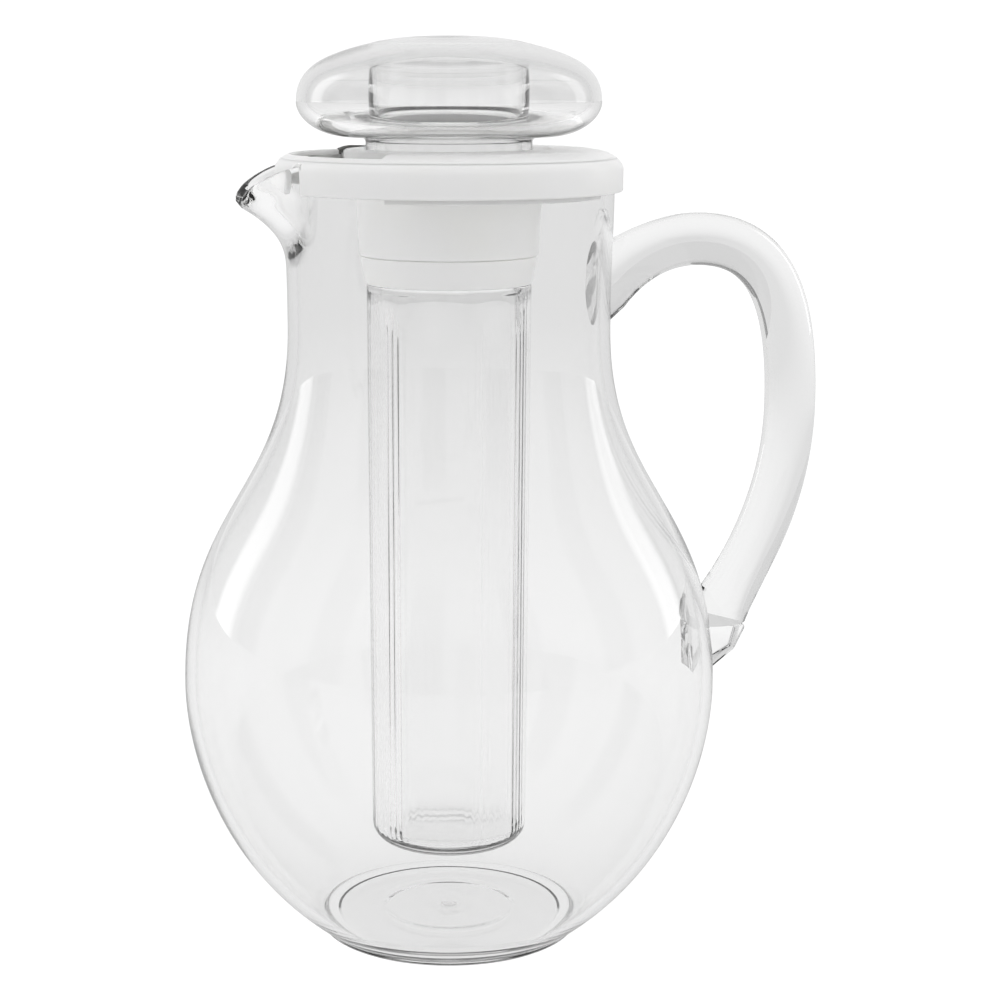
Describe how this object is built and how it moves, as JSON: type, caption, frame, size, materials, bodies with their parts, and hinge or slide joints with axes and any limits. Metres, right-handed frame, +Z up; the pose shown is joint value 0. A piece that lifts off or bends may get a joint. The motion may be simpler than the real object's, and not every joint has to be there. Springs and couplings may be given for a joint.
{
  "type": "pitcher with ice core",
  "caption": "Clear pear-shaped drinks pitcher with a bar handle and spout, a white drop-on lid with a pouring opening, a clear ice tube that hangs inside, and a hollow stopper knob.",
  "frame": {"origin": "on the surface that the jug stands on, on the axis of the jug's foot", "axes": "+Z up along the jug's axis, handle on +X, spout on -X"},
  "size_m": [0.1957, 0.1604, 0.27],
  "materials": {
    "clear_plastic": "clear, glossy, moulded acrylic",
    "white_plastic": "white, glossy, moulded"
  },
  "bodies": {
    "jug": {"jug_body": "clear_plastic", "handle": "clear_plastic"},
    "lid": {"lid": "white_plastic"},
    "ice_core": {"tube_collar": "white_plastic", "ice_tube": "clear_plastic"},
    "knob": {"knob_base": "clear_plastic", "knob_crown": "clear_plastic"}
  },
  "joints": [
    {"name": "lid_lift", "type": "slide", "parent": "jug", "child": "lid", "axis": [0, 0, 1], "range_m": [0, 0.24]},
    {"name": "tube_turn", "type": "hinge", "parent": "lid", "child": "ice_core", "pos_m": [0, 0, 0.2], "axis": [0, 0, 1], "range_deg": [-360, 0]},
    {"name": "knob_lift", "type": "slide", "parent": "lid", "child": "knob", "axis": [0, 0, 1], "range_m": [0, 0.05]}
  ]
}
